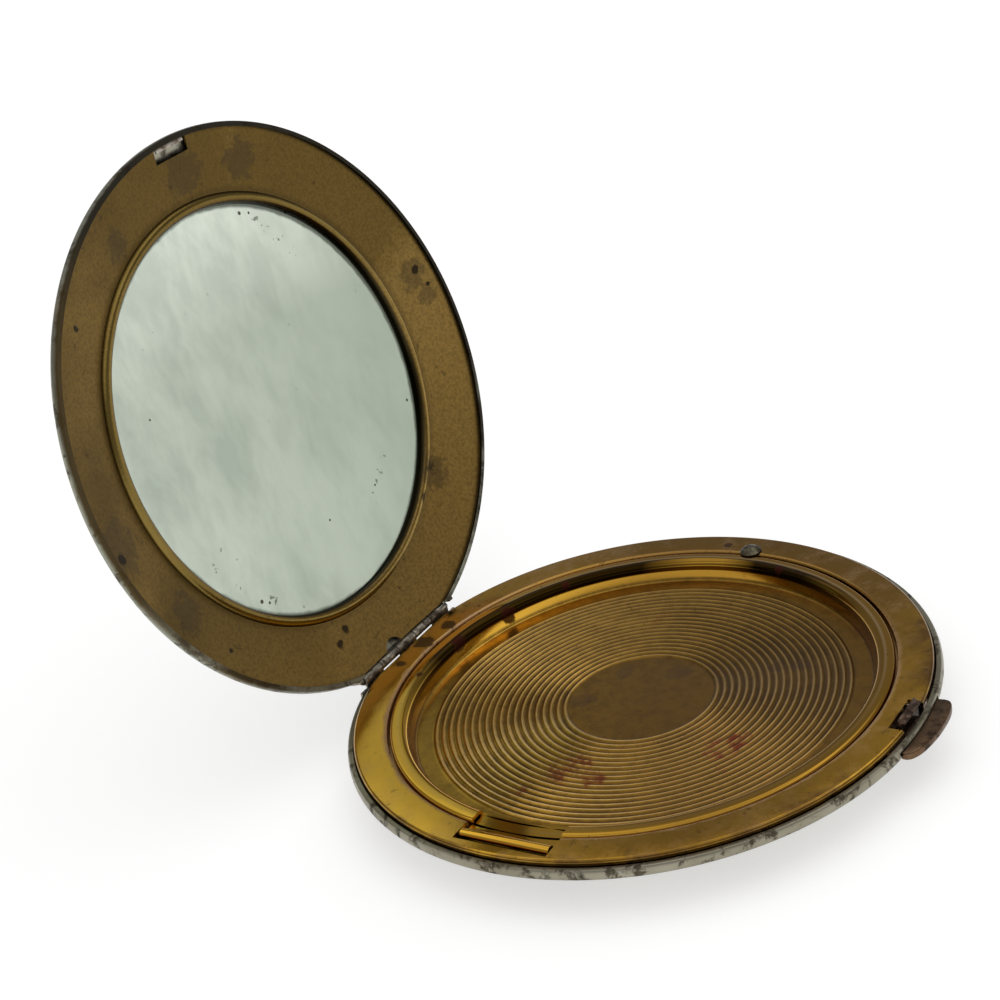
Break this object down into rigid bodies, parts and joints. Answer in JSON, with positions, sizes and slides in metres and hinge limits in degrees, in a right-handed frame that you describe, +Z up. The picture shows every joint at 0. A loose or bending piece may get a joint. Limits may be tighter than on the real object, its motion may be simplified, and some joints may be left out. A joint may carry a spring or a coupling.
{
  "type": "compact mirror",
  "caption": "Round metal pocket compact: dished lid with a mirror on a rear hinge, flat deck, ringed powder door with its own hinge and catch, sprung front latch.",
  "frame": {"origin": "centre of the flat bottom of the base, where the compact stands", "axes": "+Z up out of the base, +Y to the main hinge, -Y to the latch and its thumb piece, +X to the powder door's stud; metres"},
  "size_m": [0.0762, 0.0974, 0.0803],
  "materials": {
    "gold_lacquer": "worn gold lacquer",
    "shell_silver": "worn silvered metal",
    "steel": "dull",
    "dark_steel": "dark",
    "latch_metal": "worn brown lacquer",
    "mirror": "silvered glass with specks",
    "card": "plain"
  },
  "bodies": {
    "base": {"base_shell": "shell_silver", "deck_plate": "gold_lacquer", "powder_well": "gold_lacquer", "base_hinge_leaf": "steel", "hinge_pin": "dark_steel", "door_hinge_pin": "dark_steel", "latch_guide": "steel", "latch_spring": "steel", "catch_spring": "steel"},
    "powder_door": {"powder_door": "gold_lacquer"},
    "door_catch": {"catch_stud": "dark_steel", "catch_slide": "steel"},
    "latch": {"latch_hook": "latch_metal", "thumb_piece": "latch_metal", "thumb_rivet": "dark_steel"},
    "lid": {"lid_shell": "shell_silver", "mirror_frame": "gold_lacquer", "mirror_glass": "mirror", "mirror_card": "card", "lid_hinge_leaf": "steel", "catch_bar": "steel"}
  },
  "joints": [
    {"name": "lid_hinge", "type": "hinge", "parent": "base", "child": "lid", "pos_m": [0, 0.0369, 0.00745], "axis": [-1, 0, 0], "range_deg": [-95, 8]},
    {"name": "door_hinge", "type": "hinge", "parent": "base", "child": "powder_door", "pos_m": [-0.034, -0.00115, 0.00665], "axis": [0, -1, 0], "range_deg": [0, 155]},
    {"name": "stud_slide", "type": "slide", "parent": "base", "child": "door_catch", "axis": [1, 0, 0], "range_m": [0, 0.0009], "stiffness_N_per_m": 400, "springref_m": -0.0008},
    {"name": "latch_press", "type": "slide", "parent": "base", "child": "latch", "axis": [0, 1, 0], "range_m": [0, 0.0007], "stiffness_N_per_m": 800, "springref_m": -0.0008}
  ]
}
